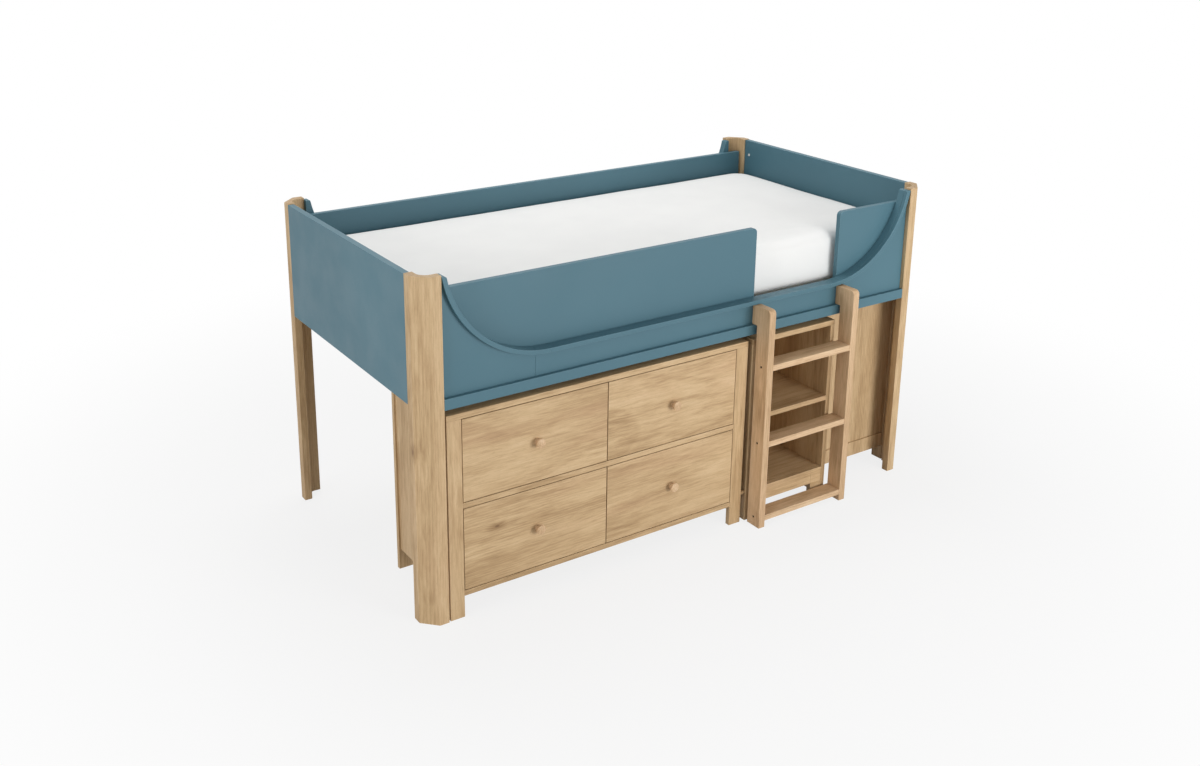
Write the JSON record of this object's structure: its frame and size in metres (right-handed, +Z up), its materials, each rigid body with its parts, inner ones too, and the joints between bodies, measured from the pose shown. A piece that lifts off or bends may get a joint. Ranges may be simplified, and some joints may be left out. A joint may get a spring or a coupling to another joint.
{
  "type": "low loft bed",
  "caption": "Low loft bed with sweeping side rails, guards, mattress, short ladder, and a chest of drawers, a bookcase and an end shelf unit beneath.",
  "frame": {"origin": "on the floor, in the middle of the whole footprint with the ladder", "axes": "+X along the bed, from the drawers towards the ladder; +Y from the front with the ladder to the back; +Z up"},
  "size_m": [2.06, 1.127, 1.121],
  "materials": {
    "oak": "matt lacquered oak",
    "pale_wood": "plain sanded softwood and plywood",
    "teal_paint": "satin paint on board",
    "mattress_fabric": "white knitted cover",
    "white_plastic": "smooth moulded",
    "screw_steel": "dark bronzed steel"
  },
  "bodies": {
    "bed": {"post_front_left": "oak", "post_front_right": "oak", "post_back_left": "oak", "post_back_right": "oak", "end_panel_left": "teal_paint", "end_panel_right": "teal_paint", "front_rail_left_end": "teal_paint", "front_rail_middle": "teal_paint", "front_rail_right_end": "teal_paint", "back_rail_left_end": "teal_paint", "back_rail_middle": "teal_paint", "back_rail_right_end": "teal_paint", "front_rail_lip": "teal_paint", "front_ledge": "teal_paint", "guard_front_long": "teal_paint", "guard_front_short": "teal_paint", "guard_back": "teal_paint", "bolt_caps": "white_plastic", "side_bearers": "pale_wood", "mattress_slats": "pale_wood", "chest_top": "oak", "chest_stile_left": "oak", "chest_stile_right": "oak", "chest_sides": "oak", "chest_rear_legs": "oak", "chest_front_rails": "oak", "chest_back": "pale_wood", "chest_divider": "oak", "drawer_runners": "pale_wood", "bookcase_side_left": "oak", "bookcase_side_right": "oak", "bookcase_top": "oak", "bookcase_shelves": "oak", "bookcase_plinth": "oak", "bookcase_back": "pale_wood", "cabinet_peg": "oak", "end_unit_sides": "oak", "end_unit_front": "oak", "end_unit_top": "oak", "end_unit_shelves": "oak", "end_unit_back": "pale_wood"},
    "mattress": {"mattress": "mattress_fabric"},
    "ladder": {"ladder_stile_left": "oak", "ladder_stile_right": "oak", "ladder_tread_bottom": "oak", "ladder_tread_middle": "oak", "ladder_tread_top": "oak", "ladder_screws": "screw_steel"},
    "drawer_upper_left": {"drawer_upper_left_front": "oak", "drawer_upper_left_box": "pale_wood", "drawer_upper_left_knob": "oak"},
    "drawer_upper_right": {"drawer_upper_right_front": "oak", "drawer_upper_right_box": "pale_wood", "drawer_upper_right_knob": "oak"},
    "drawer_lower_left": {"drawer_lower_left_front": "oak", "drawer_lower_left_box": "pale_wood", "drawer_lower_left_knob": "oak"},
    "drawer_lower_right": {"drawer_lower_right_front": "oak", "drawer_lower_right_box": "pale_wood", "drawer_lower_right_knob": "oak"}
  },
  "joints": [
    {"name": "drawer_upper_left_slide", "type": "slide", "parent": "bed", "child": "drawer_upper_left", "axis": [0, -1, 0], "range_m": [0, 0.28]},
    {"name": "drawer_upper_right_slide", "type": "slide", "parent": "bed", "child": "drawer_upper_right", "axis": [0, -1, 0], "range_m": [0, 0.28]},
    {"name": "drawer_lower_left_slide", "type": "slide", "parent": "bed", "child": "drawer_lower_left", "axis": [0, -1, 0], "range_m": [0, 0.28]},
    {"name": "drawer_lower_right_slide", "type": "slide", "parent": "bed", "child": "drawer_lower_right", "axis": [0, -1, 0], "range_m": [0, 0.28]},
    {"name": "ladder_pull", "type": "slide", "parent": "bed", "child": "ladder", "axis": [0, -1, 0], "range_m": [0, 0.15]},
    {"name": "mattress_lift", "type": "slide", "parent": "bed", "child": "mattress", "axis": [0, 0, 1], "range_m": [0, 0.35]}
  ]
}
